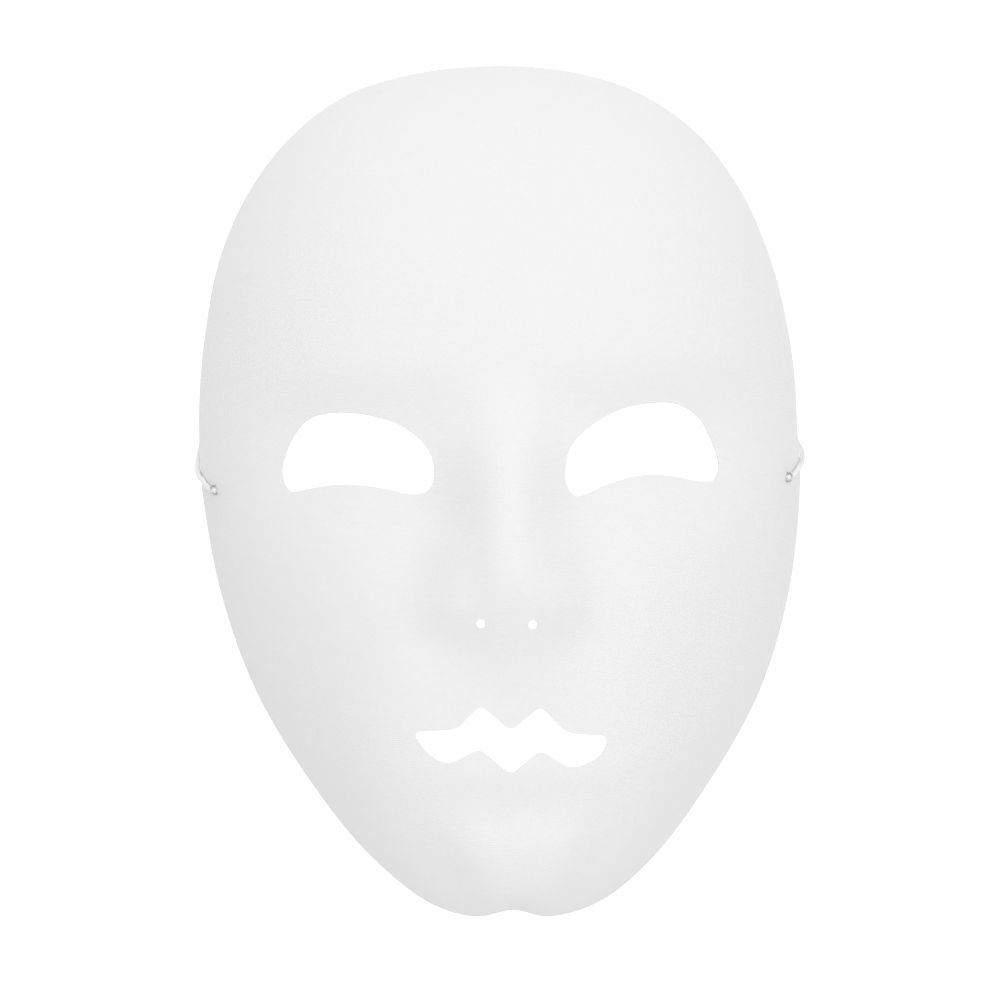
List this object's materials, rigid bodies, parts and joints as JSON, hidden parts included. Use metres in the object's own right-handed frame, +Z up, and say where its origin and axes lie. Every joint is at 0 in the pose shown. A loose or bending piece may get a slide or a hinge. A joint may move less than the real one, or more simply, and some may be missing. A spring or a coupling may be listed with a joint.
{
  "type": "full-face masquerade mask",
  "caption": "Plain full-face masquerade mask of pressed cloth on a stiff backing, with cut eyes and mouth and an elastic head strap.",
  "frame": {"origin": "middle of the flat rim's plane, level with the staples", "axes": "-Y is the way the face looks, +X is to the right of someone facing it, +Z is up the face"},
  "size_m": [0.1753, 0.0776, 0.2432],
  "materials": {
    "white_cloth": "matt hot-pressed plain weave",
    "pressed_felt": "matt stiffened non-woven felt",
    "white_elastic": "braided round cord",
    "staple_wire": "bright drawn wire"
  },
  "bodies": {
    "shell": {"face_cloth": "white_cloth", "stiff_backing": "pressed_felt", "elastic_end_left": "white_elastic", "elastic_end_right": "white_elastic", "staple_left": "staple_wire", "staple_right": "staple_wire"},
    "strap": {"elastic_loop": "white_elastic"}
  },
  "joints": [
    {"name": "strap_swing", "type": "hinge", "parent": "shell", "child": "strap", "pos_m": [0, 0.0033, 0.017], "axis": [1, 0, 0], "range_deg": [-20, 180]}
  ]
}
